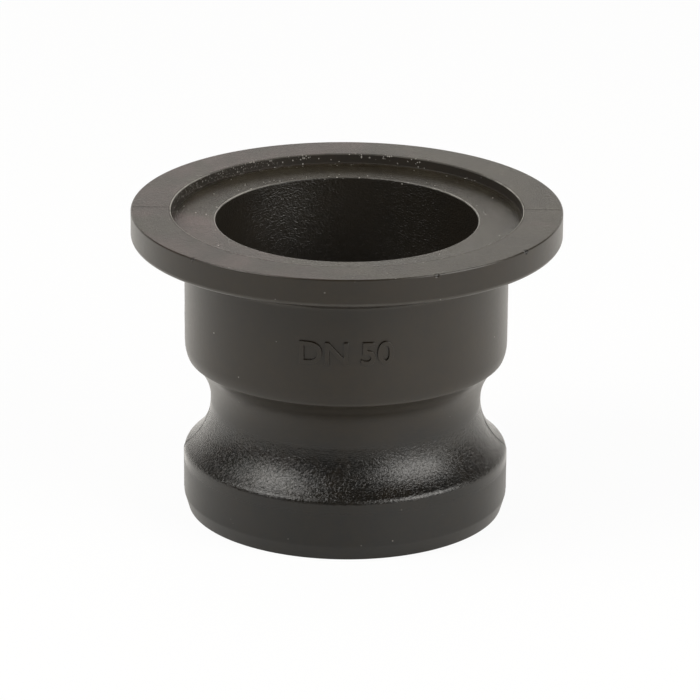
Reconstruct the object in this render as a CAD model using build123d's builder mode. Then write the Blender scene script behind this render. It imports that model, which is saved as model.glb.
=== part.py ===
# Flanged camlock adapter for a 2 inch hose coupling, moulded in one piece of polypropylene.
# The nose stands at the bottom with its end face on z = 0, and the flange is at the top.
# Every section below is drawn as radius (across) against height above the nose's end face (up).

import os
from math import radians, tan

from build123d import *

# Driving dimensions, in millimetres and degrees

# Overall
total_height = 60.6

# Nose, the end that goes into the coupler
nose_diameter = 63.0
nose_height = 12.0  # up to the sharp corner above the nose, before it is rounded
nose_top_round = 1.9
lead_in_width = 0.9
lead_in_height = 3.0
nose_mouth_chamfer = 0.8

# Groove for the coupler's cams, one arc from the nose to a crisp corner under the collar
groove_depth = 5.25
flare_rise = 10.15
throat_rise = 9.25
ledge_width = 0.5  # how far the groove's crisp upper corner stands in from the collar
shoulder_rise = 2.55

# Flow passage
bore_diameter = 50.8
neck_wall = 5.2
nose_bore_draft = 0.5
reducer_clearance = 3.0  # from the groove's upper corner up to the reducer
reducer_height = 4.2
bore_mouth_chamfer = 0.3

# Collar
collar_wall = 5.9

# Flange, with a shallow recess for the gasket and a sloping back for a band clamp
gasket_seat_width = 8.55
recess_depth = 2.0
recess_corner_chamfer = 0.4
recess_edge_chamfer = 0.2
face_width = 7.75
face_edge_chamfer = 0.2
rim_height = 5.35
rim_back_round = 0.9
back_slope = 20.0
back_root_chamfer = 1.0

# Radii that follow
nose_radius = nose_diameter / 2
neck_radius = nose_radius - groove_depth
throat_bore_radius = neck_radius - neck_wall
bore_radius = bore_diameter / 2
collar_radius = bore_radius + collar_wall
ledge_radius = collar_radius - ledge_width
recess_radius = bore_radius + gasket_seat_width
flange_radius = recess_radius + face_width

# Heights that follow
neck_height = nose_height + flare_rise
ledge_height = neck_height + throat_rise
shoulder_height = ledge_height + shoulder_rise
reducer_bottom = ledge_height + reducer_clearance - reducer_height
reducer_top = ledge_height + reducer_clearance
recess_floor = total_height - recess_depth
rim_bottom = total_height - rim_height
back_root = rim_bottom - (flange_radius - collar_radius) * tan(radians(back_slope))

# The nose's bore opens by its draft towards the end face
nose_bore_radius = throat_bore_radius + reducer_bottom * tan(radians(nose_bore_draft))

# How far the cutting section runs past the end faces
cut_past = 1.0


def corner(sketch, radius, height):
    """The section's corner nearest to this radius and height."""
    return sketch.vertices().sort_by_distance((radius, height))[0]


with BuildPart() as adapter_body:
    # Outside form, turned about the axis
    with BuildSketch(Plane.XZ) as outside:
        with BuildLine():
            nose = Polyline(
                (0, 0),
                (nose_radius - lead_in_width, 0),
                (nose_radius, lead_in_height),
                (nose_radius, nose_height),
            )
            groove = ThreePointArc(nose @ 1, (neck_radius, neck_height), (ledge_radius, ledge_height))
            shoulder = TangentArc((collar_radius, shoulder_height), groove @ 1, tangent=(0, -1))
            Polyline(
                shoulder @ 0,
                (collar_radius, back_root),
                (flange_radius, rim_bottom),
                (flange_radius, total_height),
                (0, total_height),
                (0, 0),
            )
        make_face()
        fillet(corner(outside, nose_radius, nose_height), radius=nose_top_round)
        chamfer(corner(outside, collar_radius, back_root), length=back_root_chamfer)
        fillet(corner(outside, flange_radius, rim_bottom), radius=rim_back_round)
        chamfer(corner(outside, flange_radius, total_height), length=face_edge_chamfer)
    revolve(axis=Axis.Z)

    # Flow passage and gasket recess, cut from end to end
    with BuildSketch(Plane.XZ) as passage:
        with BuildLine():
            Polyline(
                (0, -cut_past),
                (nose_bore_radius + nose_mouth_chamfer + cut_past, -cut_past),
                (nose_bore_radius, nose_mouth_chamfer),
                (throat_bore_radius, reducer_bottom),
                (bore_radius, reducer_top),
                (bore_radius, recess_floor),
                (recess_radius, recess_floor),
                (recess_radius, total_height + cut_past),
                (0, total_height + cut_past),
                close=True,
            )
        make_face()
        chamfer(corner(passage, bore_radius, recess_floor), length=bore_mouth_chamfer)
        chamfer(corner(passage, recess_radius, recess_floor), length=recess_corner_chamfer)
    revolve(axis=Axis.Z, mode=Mode.SUBTRACT)

    # Inner edge of the sealing face
    face_edges = adapter_body.faces().sort_by(Axis.Z)[-1].edges().filter_by(GeomType.CIRCLE)
    chamfer(face_edges.sort_by(SortBy.RADIUS)[0], length=recess_edge_chamfer)

adapter_body.part.label = "adapter_body"

os.makedirs("parts", exist_ok=True)
export_step(adapter_body.part, "parts/adapter_body.step")
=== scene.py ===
import math

import bmesh
import bpy
from mathutils import Matrix, Vector, noise


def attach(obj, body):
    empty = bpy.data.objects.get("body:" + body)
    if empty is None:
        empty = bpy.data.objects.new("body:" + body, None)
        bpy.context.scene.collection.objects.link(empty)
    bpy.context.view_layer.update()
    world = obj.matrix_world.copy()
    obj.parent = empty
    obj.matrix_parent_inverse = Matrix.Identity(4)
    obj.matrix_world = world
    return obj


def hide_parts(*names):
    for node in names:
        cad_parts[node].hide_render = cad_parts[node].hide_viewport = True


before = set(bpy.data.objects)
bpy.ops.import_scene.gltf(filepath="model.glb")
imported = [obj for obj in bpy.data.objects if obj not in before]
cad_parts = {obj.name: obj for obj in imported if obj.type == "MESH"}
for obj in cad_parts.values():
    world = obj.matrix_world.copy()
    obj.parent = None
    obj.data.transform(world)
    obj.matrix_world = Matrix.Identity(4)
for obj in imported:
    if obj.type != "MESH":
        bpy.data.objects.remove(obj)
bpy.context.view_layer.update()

mm = 0.001  # every size below is in millimetres
noiseMiddle = 0.5  # what a noise texture swings about
print("frame: the packed moulding is loaded")


# Wraps a shader socket so that sums on sockets read as sums
class Signal:
    def __init__(self, tree, socket=None):
        self.tree, self.socket = tree, socket

    def node(self, kind, settings=None, inputs=None, output=0):
        made = self.tree.nodes.new(kind)
        for name, value in (settings or {}).items():
            setattr(made, name, value)
        for name, value in (inputs or {}).items():
            if isinstance(value, Signal):
                self.tree.links.new(value.socket, made.inputs[name])
            else:
                made.inputs[name].default_value = value
        return Signal(self.tree, made.outputs[output])

    def maths(self, operation, *values):
        return self.node("ShaderNodeMath", {"operation": operation}, dict(enumerate(values)))

    def vector(self, operation, *values, output="Vector"):
        return self.node("ShaderNodeVectorMath", {"operation": operation}, dict(enumerate(values)), output)

    def part(self, axis):
        return self.node("ShaderNodeSeparateXYZ", None, {0: self}, axis)

    def __add__(self, other):
        return self.maths("ADD", self, other)

    def __radd__(self, other):
        return self.maths("ADD", other, self)

    def __sub__(self, other):
        return self.maths("SUBTRACT", self, other)

    def __rsub__(self, other):
        return self.maths("SUBTRACT", other, self)

    def __mul__(self, other):
        return self.maths("MULTIPLY", self, other)

    def __rmul__(self, other):
        return self.maths("MULTIPLY", other, self)

    def size(self):
        return self.maths("ABSOLUTE", self)

    def larger(self, other):
        return self.maths("MAXIMUM", self, other)

    # 0 below low, 1 above high, and the other way round where low is the larger
    def fade(self, low, high):
        ends = {"Value": self, "From Min": low, "From Max": high}
        return self.node("ShaderNodeMapRange", {"interpolation_type": "SMOOTHSTEP"}, ends)

    # 1 inside a band that fades over soft at both ends
    def band(self, low, high, soft):
        return self.fade(low - soft, low) * self.fade(high + soft, high)

    # Two bounds are a fade, three are a band
    def within(self, bounds):
        return self.band(*bounds) if len(bounds) == 3 else self.fade(*bounds)

    # The colours of a Mix node are its inputs 6 and 7 and its output 2
    def blend(self, first, second):
        return self.node("ShaderNodeMix", {"data_type": "RGBA"}, {0: self, 6: first, 7: second}, 2)


# Section of the moulding as radius and height
moulding = {
    "noseEnd": 30.6,
    "nose": 31.5,
    "leadIn": 3.0,
    "noseRound": 1.9,
    "grooveCentre": (38.317, 21.959),
    "grooveRadius": 12.068,
    "ledge": (30.8, 31.4),
    "collar": (31.3, 33.95),
    "backRoot": 51.465,
    "rim": 41.69,
    "rimBottom": 55.25,
    "top": 60.6,
    "recess": 33.95,
    "recessFloor": 58.6,
    "bore": 25.4,
    "reducer": (34.4, 30.2),
    "throat": 21.05,
    "noseBore": 21.314,
    "mouthChamfer": 0.8,
    # Radius and steps of each rounded corner
    "corners": {
        "end": (0.3, 4),
        "leadIn": (1.5, 3),
        "ledge": (0.3, 4),
        "root": (1.3, 6),
        "rimLow": (0.9, 10),
        "rimTop": (0.28, 8),
        "faceInner": (0.2, 6),
        "recessCorner": (0.22, 5),
        "boreMouth": (0.3, 6),
        "reducerTop": (0.8, 3),
        "reducerFoot": (0.8, 3),
        "mouthTop": (0.15, 2),
        "mouth": (0.15, 2),
    },
    "noseSteps": 10,
    "grooveSteps": 40,
    "shoulderSteps": 7,
    "longestStep": 2.6,
    "shortestRun": 0.7,  # a shorter run isn't cut
    "supportLoop": 0.1,
    "quarter": ((0.6, 6), (89.4, 119)),  # degrees and steps
    "weld": 0.002,
    "seamWidth": 0.14,
    "seamHeight": 0.07,
    "seamOnFace": 0.8,  # share of its height that it is deep on the face
    "seamWander": (0.75, 0.5, 0.4),  # middle and swing of its height, and how fast it changes
    "seamStops": {"bore": 0.5, "end": 0.4, "rim": 0.3, "top": 0.05, "face": 0.2},
}


def sweepArc(shape, start, centre, degrees, steps):
    turned = bmesh.ops.spin(
        shape,
        geom=[start],
        cent=(centre[0] * mm, 0, centre[1] * mm),
        axis=(0, -1, 0),
        angle=math.radians(degrees),
        steps=steps,
    )
    return turned["geom_last"][0]


def roundCorner(shape, corner, radius, steps):
    ways = [(edge.other_vert(corner).co - corner.co).normalized() for edge in corner.link_edges]
    reach = radius * mm / math.tan(ways[0].angle(ways[1]) / 2)
    bmesh.ops.bevel(
        shape,
        geom=[corner],
        offset=reach,
        offset_type="OFFSET",
        segments=steps,
        profile=0.5,
        affect="VERTICES",
        material=-1,
    )


def drawSection(shape, m):
    point = lambda radius, height: shape.verts.new((radius * mm, 0, height * mm))
    centre, ledge, collar = Vector(m["grooveCentre"]), Vector(m["ledge"]), Vector(m["collar"])
    roundRadius = m["nose"] - m["noseRound"]
    reach = m["grooveRadius"] + m["noseRound"]
    roundHeight = centre.y - math.sqrt(reach**2 - (centre.x - roundRadius) ** 2)
    roundSwing = math.degrees(math.asin((centre.y - roundHeight) / reach))
    ledgeAngle = math.degrees(math.atan2(ledge.y - centre.y, ledge.x - centre.x))
    width, rise = collar - ledge
    shoulderRadius = (width**2 + rise**2) / (2 * width)
    shoulderSwing = math.degrees(math.asin(rise / shoulderRadius))

    # The arcs, from the nose up to the collar
    noseTop = point(m["nose"], roundHeight)
    grooveFoot = sweepArc(shape, noseTop, (roundRadius, roundHeight), roundSwing, m["noseSteps"])
    grooveTop = sweepArc(shape, grooveFoot, centre, ledgeAngle - 180 - roundSwing, m["grooveSteps"])
    shoulderCentre = (collar.x - shoulderRadius, collar.y)
    shoulder = sweepArc(shape, grooveTop, shoulderCentre, shoulderSwing, m["shoulderSteps"])

    # The straight runs, on round the flange, down the passage and out to the nose
    corners = {
        "root": point(collar.x, m["backRoot"]),
        "rimLow": point(m["rim"], m["rimBottom"]),
        "rimTop": point(m["rim"], m["top"]),
        "faceInner": point(m["recess"], m["top"]),
        "recessCorner": point(m["recess"], m["recessFloor"]),
        "boreMouth": point(m["bore"], m["recessFloor"]),
        "reducerTop": point(m["bore"], m["reducer"][0]),
        "reducerFoot": point(m["throat"], m["reducer"][1]),
        "mouthTop": point(m["noseBore"], m["mouthChamfer"]),
        "mouth": point(m["noseBore"] + m["mouthChamfer"], 0),
        "end": point(m["noseEnd"], 0),
        "leadIn": point(m["nose"], m["leadIn"]),
    }
    chain = [shoulder, *corners.values(), noseTop]
    for first, second in zip(chain, chain[1:]):
        shape.edges.new((first, second))
    corners["ledge"] = grooveTop
    for name, (radius, steps) in m["corners"].items():
        roundCorner(shape, corners[name], radius, steps)


# Cuts each straight run, with a loop near either end that keeps the round beside it crisp
def cutRuns(shape, m):
    support = m["supportLoop"] * mm
    for edge in [e for e in shape.edges if e.calc_length() > m["shortestRun"] * mm]:
        inner = bmesh.utils.edge_split(edge, edge.verts[0], support / edge.calc_length())[1]
        rest = max(inner.link_edges, key=lambda e: e.calc_length())
        outer = bmesh.utils.edge_split(rest, rest.other_vert(inner), support / rest.calc_length())[1]
        middle = next(e for e in outer.link_edges if inner in e.verts)
        cuts = int(middle.calc_length() / (m["longestStep"] * mm))
        if cuts:
            bmesh.ops.subdivide_edges(shape, edges=[middle], cuts=cuts)


# The mould's parting line, a fine ridge on both sides, trimmed to a groove on the flange's face
def raiseSeam(shape, m):
    stops = m["seamStops"]
    level, swing, pace = m["seamWander"]
    for vert in shape.verts:
        radius, height = vert.co.xy.length / mm, vert.co.z / mm
        clearOfEnds = stops["end"] < height < m["rimBottom"] - stops["rim"]
        outside = clearOfEnds and radius > m["bore"] + stops["bore"]
        clearOfEdges = m["recess"] + stops["face"] < radius < m["rim"] - stops["face"]
        onFace = clearOfEdges and height > m["top"] - stops["top"]
        near = 1 - abs(vert.co.y) / mm / m["seamWidth"]
        if near <= 0 or not (outside or onFace):
            continue
        lift = m["seamHeight"] * near * (level + swing * noise.noise(vert.co / mm * pace)) * mm
        if onFace:
            vert.co.z -= m["seamOnFace"] * lift
        else:
            vert.co += vert.normal * lift


def turnMoulding(m):
    shape = bmesh.new()
    drawSection(shape, m)
    cutRuns(shape, m)
    # A quarter turn, finer beside the parting line, then mirrored twice
    geometry = shape.verts[:] + shape.edges[:]
    for degrees, steps in m["quarter"]:
        turned = bmesh.ops.spin(
            shape,
            geom=geometry,
            axis=(0, 0, 1),
            cent=(0, 0, 0),
            angle=math.radians(degrees),
            steps=steps,
        )
        geometry = turned["geom_last"]
    weld = m["weld"] * mm
    for axis in "XY":
        geometry = shape.verts[:] + shape.edges[:] + shape.faces[:]
        bmesh.ops.mirror(shape, geom=geometry, merge_dist=weld, axis=axis)
    bmesh.ops.remove_doubles(shape, verts=shape.verts, dist=weld)
    bmesh.ops.recalc_face_normals(shape, faces=shape.faces)
    shape.normal_update()
    raiseSeam(shape, m)
    for face in shape.faces:
        face.smooth = True
    return shape


def finishPiece(shape, name, material):
    mesh = bpy.data.meshes.new(name)
    shape.to_mesh(mesh)
    shape.free()
    mesh.materials.append(material)
    piece = bpy.data.objects.new(name, mesh)
    bpy.context.scene.collection.objects.link(piece)
    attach(piece, "root")
    return piece


# Noise textures of the plastic: size, then detail, roughness and distortion where they matter
grains = {
    "mottle": (7.0, 4.0, 0.55),
    "grit": (1.6, 4.0, 0.7),
    "powder": (0.4, 3.0, 0.7),
    "blush": (11.0, 2.0),
    "rubAndLit": (3.0, 3.0),
    "cluster": (4.0,),
    "sheen": (0.8, 3.0),
    "swell": (1.1,),
    "fine": (0.22,),
    "scuff": (0.58, 2.0, 0.5, 1.4),
    "scratch": (0.6, 2.0, 0.5, 1.6),
    "boreSkin": (0.30,),
}

# Where the looks change: two bounds are a fade, three are a band and how softly it ends
zones = {
    "heights": {
        "sealingSide": (58.2, 58.5),
        "flare": (10.5, 20.5, 1.5),
        "scuffed": (12.2, 20.0, 1.4),
        "noseRound": (10.0, 11.6, 0.7),
        # under the ledge, where painted light lifts the shade
        "ledge": (29.3, 31.3, 0.8),
        "upper": (20, 27),
        "collar": (30, 34),
    },
    "radii": {
        "bore": (25.6, 25.4),
        "outside": (25.7, 25.9),
        "insideRecess": (34.2, 33.6),
        "besideRecess": (33.9, 35.2, 0.8),
    },
    "across": {
        "left": (-8, -26),
        "dustyEdge": (-16, 12, 6),
        "dustyFeet": (-17, 2, 5),
    },
    "towardBack": {
        "behind": (12, 26),
        # fades in toward the back, where the face takes a painted reflection
        "farther": (-35, 35),
        "pastPatch": (-6, 8),
        "dustyRim": (4, 14),
    },
    "rings": {  # radius, then height
        "wall": ((33.2, 34.2, 0.2), (58.4, 58.8)),
        # edges that are rubbed pale and given a painted highlight
        "innerEdge": ((33.93, 34.13, 0.08), (60.3, 60.5)),
        "lip": ((25.42, 25.56, 0.06), (58.2, 58.4)),
        # the rim's lower round, given a painted highlight
        "lowEdgeHighlight": ((40.9, 41.2), (55.3, 55.7, 0.25)),
        "recessEdge": ((33.4, 34.3, 0.2), (59.2, 60.0)),
        "wallFoot": ((32.5, 34.0, 0.5), (57.8, 58.2)),
        "lipFoot": ((25.2, 26.8, 0.4), (57.8, 58.2)),
    },
    "upward": (0.6, 0.95),  # how far the surface faces up
    "seam": (0.20, 0.08),  # from the parting plane
}

# Satin black moulded plastic, duller and dusty on the sealing side, scuffed in the groove, with painted
# light under the ledge and painted highlights on some edges
plastic = {
    "colours": {
        "black": (0.0036, 0.0034, 0.0030, 1),
        "brown": (0.0138, 0.0088, 0.0032, 1),
        "dulled": (0.043, 0.038, 0.025, 1),
        "rosy": (0.068, 0.045, 0.042, 1),
        # a paler tone painted under the ledge as light that lifts the shade there
        "ledge": (0.040, 0.036, 0.030, 1),
        "bore": (0.020, 0.019, 0.017, 1),
        # pale: for rubbed edges with their painted highlight, and for dust
        "pale": (0.33, 0.32, 0.295, 1),
        "dust": (0.42, 0.40, 0.37, 1),
    },
    "brownness": {"least": 0.15, "upper": 0.55, "mottle": 0.7, "grit": 0.9},
    "dullnessAndPaintedLight": {
        "least": 0.32,
        # painted reflection: the face lighter toward the back
        "farther": 0.10,
        "mottle": 1.2,
        "powder": 2.6,
        # less of it on the recess floor at the back, which is left darker there
        "lessBehind": 0.4,
        "lessOnSeam": 0.9,
        "patch": 0.45,
    },
    # A rosy patch in the recess, and rosy clouds elsewhere on the sealing side
    "blush": {
        "centre": (-30.5, -4, 58.6),
        "reach": (9, 4),
        "ragged": 6,
        "clouds": (0.46, 0.62),
        "moreAtLeft": 0.004,
        "lessPastPatch": 0.9,
    },
    # How strongly edges are rubbed pale and given a painted highlight, painted light lifts the shade under
    # the ledge, dust shows and zones take their own colour
    "wearAndPaintedLight": {
        "bore": 0.45,
        # painted light under the ledge
        "ledge": 0.45,
        # painted highlight on the rim's lower round
        "lowEdgeHighlight": 0.08,
        # the painted highlight on the edges is weaker behind
        "lessBehind": 0.85,
        "least": 0.5,
        "rubbedAndLit": 0.4,
        "rubAndLitRange": (0.35, 0.65),
        "dusting": 0.7,
        "dustingRange": (0.58, 0.66),
        "nick": 0.8,
    },
    # Nicks in the flange's edges: middle, reach and strength
    "nicks": (
        ((33.9, -24.2, 60.5), (0.7, 0.4), 1.0),
        ((16.9, -38.1, 60.5), (0.6, 0.3), 0.6),
        ((-28.9, -30.0, 60.5), (0.6, 0.3), 0.6),
        ((-31.1, -13.3, 60.5), (0.6, 0.3), 0.6),
    ),
    # Specks of dust, with the share of places that hold one
    "specks": {
        "spacing": 0.4,
        "onCollar": 0.0006,
        "onFace": 0.0025,
        "onEdge": 0.45,
        "onFeet": 0.010,
        "onFeetBehind": 0.06,
        "clusters": (0.42, 0.62),
        "faintest": 0.35,
        "uneven": 0.3,
        "outline": (0.62, 0.42),
        "threshold": (-0.001, 0.001),
    },
    "roughness": {
        "satin": 0.34,
        "polished": 0.21,
        "roundEdge": 0.19,
        "bore": 0.30,
        "matte": 0.30,
        "recess": 0.22,
        "wall": 0.38,  # added there
        "sheen": 0.08,
        "specks": 0.25,
    },
    "relief": {
        "swell": 0.008,
        "fine": 0.001,
        "scuff": 0.11,
        "scratch": 0.006,
        "scratchSharpness": 12,
        "bore": 0.17,
        "boreStretch": (0.65, 0.65, 1),
        "face": 0.07,
        "wall": 0.03,
        "specks": 0.05,
        "nick": 0.25,
    },
    "ior": 1.47,
}


# Where a shaded point lies on the moulding
class Place:
    def __init__(self, tree):
        start = Signal(tree)
        coordinates = start.node("ShaderNodeTexCoord", output="Object")
        self.point = coordinates.vector("MULTIPLY", coordinates, (1 / mm, 1 / mm, 1 / mm))
        self.x, self.y, self.height = (self.point.part(axis) for axis in "XYZ")
        flat = self.point.vector("MULTIPLY", self.point, (1, 1, 0))
        self.radius = flat.vector("LENGTH", flat, output="Value")
        self.facing = start.node("ShaderNodeTexCoord", output="Normal")

    def grain(self, name, where=None):
        size, *rest = grains[name]
        inputs = {"Vector": where or self.point, "Scale": 1 / size}
        inputs.update(zip(("Detail", "Roughness", "Distortion"), rest))
        return self.point.node("ShaderNodeTexNoise", None, inputs)

    def distanceTo(self, centre):
        return self.point.vector("DISTANCE", self.point, centre, output="Value")


# 1 inside each zone of the surface and 0 outside it
def findZones(at, z):
    measures = {"heights": at.height, "radii": at.radius, "across": at.x, "towardBack": at.y}
    zone = {}
    for kind, measure in measures.items():
        for name, bounds in z[kind].items():
            zone[name] = measure.within(bounds)
    for name, (radii, heights) in z["rings"].items():
        zone[name] = at.radius.within(radii) * at.height.within(heights)
    for name in ("flare", "scuffed", "noseRound", "ledge"):
        zone[name] = zone[name] * zone["outside"]
    zone["face"] = zone["sealingSide"] * at.facing.part("Z").within(z["upward"])
    zone["recess"] = zone["insideRecess"] * zone["face"]
    zone["seam"] = at.y.size().within(z["seam"]) * zone["face"] * (1 - zone["recess"])
    return zone


def findNicks(at, nicks):
    found = [strength * at.distanceTo(middle).fade(*reach) for middle, reach, strength in nicks]
    strongest = found[0]
    for nick in found[1:]:
        strongest = strongest.larger(nick)
    return strongest


def findSpecks(at, zone, s):
    cells = {"Vector": at.point, "Scale": 1 / s["spacing"]}
    voronoi = lambda output: at.point.node("ShaderNodeTexVoronoi", {"feature": "F1"}, cells, output)
    fromMiddle, pick = voronoi("Distance"), voronoi("Color")
    chance, odd = (pick.node("ShaderNodeSeparateColor", None, {0: pick}, name) for name in ("Red", "Green"))
    edge = zone["recessEdge"] * zone["dustyEdge"] * at.grain("cluster").fade(*s["clusters"])
    feet = zone["wallFoot"] + zone["lipFoot"]
    dustier = s["onEdge"] * edge + s["onFeetBehind"] * feet * zone["dustyFeet"]
    often = s["onCollar"] * zone["collar"] + s["onFace"] * zone["face"] + zone["behind"] * dustier
    often = often + s["onFeet"] * feet
    brightness = s["faintest"] + (1 - s["faintest"]) * odd
    speck = (fromMiddle + s["uneven"] * odd).fade(*s["outline"])
    return brightness * speck * (chance - (1 - often)).fade(*s["threshold"])


def mixColour(at, zone, p, powder, specks, nick):
    tone, wearAndPaintedLight = p["colours"], p["wearAndPaintedLight"]
    brown, dullAndPaintedLight, blush = p["brownness"], p["dullnessAndPaintedLight"], p["blush"]
    mottle = at.grain("mottle") - noiseMiddle
    browner = brown["least"] + brown["upper"] * zone["upper"] + brown["mottle"] * mottle
    browner = browner + brown["grit"] * (at.grain("grit") - noiseMiddle)
    colour = browner.blend(tone["black"], tone["brown"])
    colour = (wearAndPaintedLight["bore"] * zone["bore"]).blend(colour, tone["bore"])

    # The dulled sealing side, lighter toward the back as a painted reflection, and its rosy parts
    away = at.distanceTo(blush["centre"]) + blush["ragged"] * mottle
    patch = away.fade(*blush["reach"]) * zone["recess"]
    clouds = (at.grain("blush") - blush["moreAtLeft"] * at.x).fade(*blush["clouds"])
    rosy = clouds * (1 - blush["lessPastPatch"] * zone["recess"] * zone["pastPatch"])
    worn = rosy.larger(patch).blend(tone["dulled"], tone["rosy"])
    # Dust dulls the face, and the share that grows toward the back is a painted reflection
    dullingAndPaintedLight = dullAndPaintedLight["least"] + dullAndPaintedLight["farther"] * zone["farther"] + dullAndPaintedLight["mottle"] * mottle
    dullingAndPaintedLight = zone["face"] * (dullingAndPaintedLight + dullAndPaintedLight["powder"] * (powder - noiseMiddle))
    # The recess floor is left darker at the back
    dullingAndPaintedLight = dullingAndPaintedLight * (1 - dullAndPaintedLight["lessBehind"] * zone["recess"] * zone["behind"])
    dullingAndPaintedLight = dullingAndPaintedLight * (1 - dullAndPaintedLight["lessOnSeam"] * zone["seam"])
    colour = (dullingAndPaintedLight + dullAndPaintedLight["patch"] * patch).blend(colour, worn)
    # Painted light: the shade under the ledge lifted with a paler tone
    colour = (wearAndPaintedLight["ledge"] * zone["ledge"]).blend(colour, tone["ledge"])

    # Edges rubbed pale and given a painted highlight, dust by the recess wall, nicks and specks
    # Partly rubbed wear, partly a painted highlight that is weaker at the back
    edges = (zone["innerEdge"] + zone["lip"]) * (1 - wearAndPaintedLight["lessBehind"] * zone["behind"])
    edges = edges + wearAndPaintedLight["lowEdgeHighlight"] * zone["lowEdgeHighlight"]
    rubbedAndLit = wearAndPaintedLight["least"] + wearAndPaintedLight["rubbedAndLit"] * at.grain("rubAndLit").fade(*wearAndPaintedLight["rubAndLitRange"])
    colour = (edges * rubbedAndLit).blend(colour, tone["pale"])
    dusted = zone["wall"].larger(zone["besideRecess"] * zone["dustyRim"]) * zone["left"]
    colour = (wearAndPaintedLight["dusting"] * dusted * powder.fade(*wearAndPaintedLight["dustingRange"])).blend(colour, tone["pale"])
    colour = (wearAndPaintedLight["nick"] * nick).blend(colour, tone["black"])
    return specks.blend(colour, tone["dust"])


def mixRoughness(at, zone, r, specks):
    rough = r["satin"] + (r["matte"] - r["satin"]) * zone["face"]
    rough = rough + (r["recess"] - r["matte"]) * zone["recess"]
    rough = rough + (r["polished"] - r["satin"]) * zone["flare"] + (r["bore"] - r["satin"]) * zone["bore"]
    rough = rough + (r["roundEdge"] - r["polished"]) * zone["noseRound"] + r["wall"] * zone["wall"]
    return rough + r["sheen"] * (at.grain("sheen") - noiseMiddle) + r["specks"] * specks


def mixRelief(at, zone, r, powder, specks, nick):
    relief = r["swell"] * at.grain("swell") + r["fine"] * at.grain("fine")
    offMiddle = (at.grain("scratch") - noiseMiddle).size() * r["scratchSharpness"]
    scratches = 1 - offMiddle.fade(0, 1)
    relief = relief + zone["scuffed"] * (r["scuff"] * at.grain("scuff") + r["scratch"] * scratches)
    stretched = at.point.vector("MULTIPLY", at.point, r["boreStretch"])
    relief = relief + r["bore"] * zone["bore"] * at.grain("boreSkin", stretched)
    relief = relief + (r["face"] * zone["face"] + r["wall"] * zone["wall"]) * powder
    return relief + r["specks"] * specks - r["nick"] * nick


def makePlastic(name, p, z):
    material = bpy.data.materials.new(name)
    material.use_nodes = True
    tree = material.node_tree
    shader = tree.nodes["Principled BSDF"]
    at = Place(tree)
    zone = findZones(at, z)
    powder = at.grain("powder")
    specks = findSpecks(at, zone, p["specks"])
    nick = findNicks(at, p["nicks"])
    relief = mixRelief(at, zone, p["relief"], powder, specks, nick)
    looks = {
        "Base Color": mixColour(at, zone, p, powder, specks, nick),
        "Roughness": mixRoughness(at, zone, p["roughness"], specks),
        "Normal": relief.node("ShaderNodeBump", None, {"Height": relief, "Strength": 1.0, "Distance": mm}),
    }
    for socket, signal in looks.items():
        tree.links.new(signal.socket, shader.inputs[socket])
    shader.inputs["IOR"].default_value = p["ior"]
    return material


blackPlastic = makePlastic("satin_black_plastic", plastic, zones)
print("material: satin black plastic")

body = finishPiece(turnMoulding(moulding), "turned_moulding", blackPlastic)
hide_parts("adapter_body")
print("moulding:", len(body.data.polygons), "faces")

# Raised size mark on the collar: the nominal bore
sizeMark = {
    "words": "DN 50",
    "letterHeight": 4.6,
    "capShare": 0.72,  # height of a capital in the font's size
    "width": 18.0,
    "middle": (0.15, 42.2),  # across, and above the nose's end
    "proud": 0.3,
    "sunk": 0.3,
    "bolder": 0.06,
    "softEdge": 0.06,
    "edgeSteps": 2,
    "curveSteps": 6,
    "cut": 0.6,  # width of the strips that bend round the collar
    "weld": 0.001,
    "cutWeld": 0.0001,
}


def drawLetters(s):
    letters = bpy.data.curves.new("size_letters", "FONT")
    letters.body = s["words"]
    letters.align_x = "CENTER"
    letters.align_y = "CENTER"
    letters.size = s["letterHeight"] / s["capShare"] * mm
    letters.offset = s["bolder"] * mm
    letters.extrude = (s["proud"] + s["sunk"]) / 2 * mm
    letters.bevel_depth = s["softEdge"] * mm
    letters.bevel_resolution = s["edgeSteps"]
    letters.resolution_u = s["curveSteps"]
    holder = bpy.data.objects.new("size_letters", letters)
    bpy.context.scene.collection.objects.link(holder)
    drawn = bpy.data.meshes.new_from_object(holder.evaluated_get(bpy.context.evaluated_depsgraph_get()))
    bpy.data.objects.remove(holder)
    shape = bmesh.new()
    shape.from_mesh(drawn)
    bpy.data.meshes.remove(drawn)
    bmesh.ops.remove_doubles(shape, verts=shape.verts, dist=s["weld"] * mm)
    return shape


# Centres the letters and stretches them to their width and height
def fitLetters(shape, s):
    across = [v.co.x for v in shape.verts]
    up = [v.co.y for v in shape.verts]
    middle = Vector(((min(across) + max(across)) / 2, (min(up) + max(up)) / 2, 0))
    bmesh.ops.translate(shape, verts=shape.verts, vec=-middle)
    wider = s["width"] * mm / (max(across) - min(across))
    taller = s["letterHeight"] * mm / (max(up) - min(up))
    bmesh.ops.scale(shape, verts=shape.verts, vec=(wider, taller, 1))


# Wraps the letters round the collar, with their backs sunk into the wall
def wrapLetters(shape, s, collarRadius):
    for cut in range(1, math.ceil(s["width"] / s["cut"])):
        across = (cut * s["cut"] - s["width"] / 2) * mm
        geometry = shape.verts[:] + shape.edges[:] + shape.faces[:]
        bmesh.ops.bisect_plane(
            shape,
            geom=geometry,
            plane_co=(across, 0, 0),
            plane_no=(1, 0, 0),
            dist=s["cutWeld"] * mm,
        )
    base = (collarRadius + (s["proud"] - s["sunk"]) / 2) * mm
    for vert in shape.verts:
        angle = (vert.co.x + s["middle"][0] * mm) / (collarRadius * mm)
        reach = base + vert.co.z
        vert.co = (reach * math.sin(angle), -reach * math.cos(angle), vert.co.y + s["middle"][1] * mm)
    bmesh.ops.recalc_face_normals(shape, faces=shape.faces)


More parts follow.
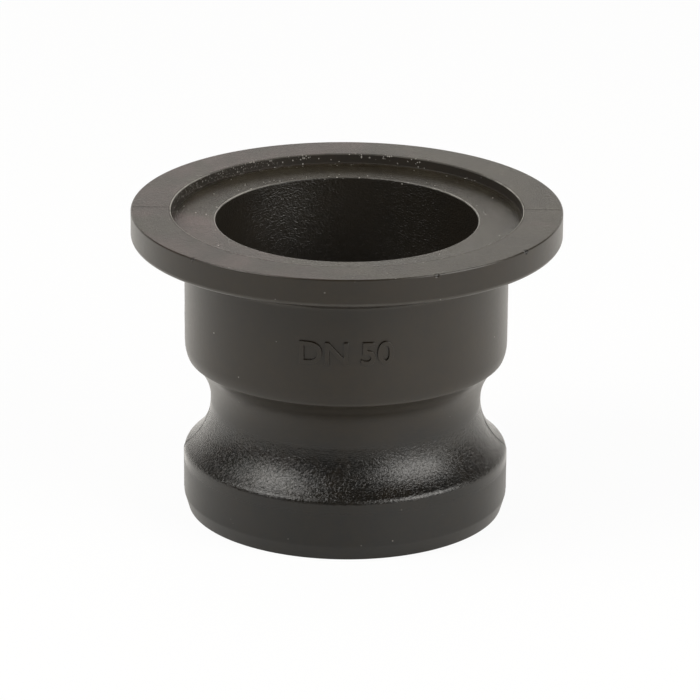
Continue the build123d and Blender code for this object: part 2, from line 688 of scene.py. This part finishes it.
def makeSizeMark(s, collarRadius):
    shape = drawLetters(s)
    fitLetters(shape, s)
    wrapLetters(shape, s, collarRadius)
    return shape


mark = finishPiece(makeSizeMark(sizeMark, moulding["collar"][0]), "size_mark", blackPlastic)
print("size mark:", len(mark.data.polygons), "faces")

# Studio: a white floor that keeps the shadow, a white horizon with a panel behind the object,
# a darker ceiling and three softboxes
studio = {
    "floorSize": 3000,
    "floorSides": 96,
    "floorColour": (0.82, 0.82, 0.81, 1),
    "light": (1.04, 1.0, 0.94, 1),
    "white": (1, 1, 1, 1),
    "cameraShare": 0.94,
    "mirrorShare": 0.32,
    # Brightness of each side in a reflection, and where it fades by direction
    "front": 0.80,
    "back": 1.75,
    "backFade": (-0.6, 0.8),
    "left": 0.5,
    "leftFade": (-0.2, -0.9),
    "right": 0.8,
    "rightWay": (0.87, -0.5),
    "rightFade": (0.45, 1.0),
    "horizonFade": (0.08, 0.0),
    "panel": 0.68,
    "panelFade": (0.55, 0.92),
    "panelTop": (0.42, 0.26),
    "ceiling": 0.13,
    "softboxColour": (1.0, 0.98, 0.94),
    "softboxAim": 20,
}
# Azimuth, elevation and turn in degrees, power in watts
softboxes = {
    "left": {
        "azimuth": -68,
        "elevation": 45,
        "turn": 30,
        "distance": 900,
        "width": 420,
        "tall": 600,
        "power": 6.7,
    },
    "right": {
        "azimuth": 60,
        "elevation": 27,
        "turn": 0,
        "distance": 900,
        "width": 680,
        "tall": 480,
        "power": 7.6,
    },
    "top": {
        "azimuth": 180,
        "elevation": 60,
        "turn": 0,
        "distance": 900,
        "width": 800,
        "tall": 700,
        "power": 1.5,
    },
}


def seenBy(start, ray):
    return start.node("ShaderNodeLightPath", output=ray)


# How bright the white surround looks in a reflection, by direction from the object
def levelAround(direction, s):
    x, y = direction.part("X"), direction.part("Y")
    level = s["front"] + (s["back"] - s["front"]) * y.fade(*s["backFade"])
    towardRight = (s["rightWay"][0] * x + s["rightWay"][1] * y).fade(*s["rightFade"])
    return level + s["right"] * towardRight + s["left"] * x.fade(*s["leftFade"])


def buildFloor(s):
    shape = bmesh.new()
    bmesh.ops.create_circle(shape, cap_ends=True, segments=s["floorSides"], radius=s["floorSize"] * mm)
    mesh = bpy.data.meshes.new("studio_floor")
    shape.to_mesh(mesh)
    shape.free()
    floor = bpy.data.objects.new("studio_floor", mesh)
    bpy.context.scene.collection.objects.link(floor)
    material = bpy.data.materials.new("studio_white")
    material.use_nodes = True
    tree = material.node_tree
    tree.nodes.clear()
    start = Signal(tree)
    camera = seenBy(start, "Is Camera Ray")
    mirrored = seenBy(start, "Is Glossy Ray").larger(seenBy(start, "Is Transmission Ray"))
    place = start.node("ShaderNodeTexCoord", output="Object")
    away = place.vector("NORMALIZE", place)
    matte = start.node("ShaderNodeBsdfDiffuse", None, {"Color": s["floorColour"]})
    level = camera.larger(mirrored * levelAround(away, s))
    colour = camera.blend(s["light"], s["white"])
    bright = start.node("ShaderNodeEmission", None, {"Color": colour, "Strength": level})
    share = (camera * s["cameraShare"]).larger(mirrored * s["mirrorShare"])
    surface = start.node("ShaderNodeMixShader", None, {0: share, 1: matte, 2: bright})
    out = tree.nodes.new("ShaderNodeOutputMaterial")
    tree.links.new(surface.socket, out.inputs["Surface"])
    mesh.materials.append(material)


def buildWorld(s):
    world = bpy.data.worlds.new("studio_world")
    bpy.context.scene.world = world
    world.use_nodes = True
    tree = world.node_tree
    tree.nodes.clear()
    start = Signal(tree)
    direction = start.node("ShaderNodeTexCoord", output="Generated")
    rise = direction.part("Z")
    panel = s["panel"] * direction.part("Y").fade(*s["panelFade"]) * rise.fade(*s["panelTop"])
    low = rise.fade(*s["horizonFade"]).larger(panel)
    level = s["ceiling"] + (levelAround(direction, s) - s["ceiling"]) * low
    camera = seenBy(start, "Is Camera Ray")
    colour = camera.blend(s["light"], s["white"])
    light = {"Color": colour, "Strength": level.larger(camera)}
    background = start.node("ShaderNodeBackground", None, light)
    out = tree.nodes.new("ShaderNodeOutputWorld")
    tree.links.new(background.socket, out.inputs["Surface"])


def hangSoftbox(name, box, s):
    lamp = bpy.data.lights.new("softbox_" + name, "AREA")
    lamp.shape = "RECTANGLE"
    lamp.size, lamp.size_y = box["width"] * mm, box["tall"] * mm
    lamp.energy, lamp.color = box["power"], s["softboxColour"]
    holder = bpy.data.objects.new("softbox_" + name, lamp)
    bpy.context.scene.collection.objects.link(holder)
    around, rise = math.radians(box["azimuth"]), math.radians(box["elevation"])
    away = Vector((math.sin(around) * math.cos(rise), -math.cos(around) * math.cos(rise), math.sin(rise)))
    holder.location = away * box["distance"] * mm + Vector((0, 0, s["softboxAim"] * mm))
    facing = away.to_track_quat("Z", "Y").to_matrix() @ Matrix.Rotation(math.radians(box["turn"]), 3, "Z")
    holder.rotation_euler = facing.to_euler()
    holder.visible_camera = False


buildFloor(studio)
buildWorld(studio)
for name, box in softboxes.items():
    hangSoftbox(name, box, studio)
print("studio: floor, world and", len(softboxes), "softboxes")

# Camera as the photograph was taken
shot = {
    "focal": 288.04,
    "sensorWidth": 36,
    "distance": 1089.27,
    "aim": (0.787, 0, 31.558),
    "elevation": 20.088,
    "roll": 0.418,
    "clip": (50, 20000),
}


def placeCamera(s):
    lens = bpy.data.cameras.new("shot")
    lens.sensor_width = s["sensorWidth"]
    lens.lens = s["focal"]
    lens.clip_start, lens.clip_end = (end * mm for end in s["clip"])
    camera = bpy.data.objects.new("shot", lens)
    bpy.context.scene.collection.objects.link(camera)
    rise = math.radians(s["elevation"])
    away = Vector((0, -math.cos(rise), math.sin(rise))) * s["distance"]
    tilt = Matrix.Rotation(math.radians(90) - rise, 4, "X")
    turn = tilt @ Matrix.Rotation(math.radians(s["roll"]), 4, "Z")
    camera.matrix_world = Matrix.Translation((Vector(s["aim"]) + away) * mm) @ turn
    bpy.context.scene.camera = camera


placeCamera(shot)
bpy.context.scene.view_settings.view_transform = "Standard"
print("camera: set")
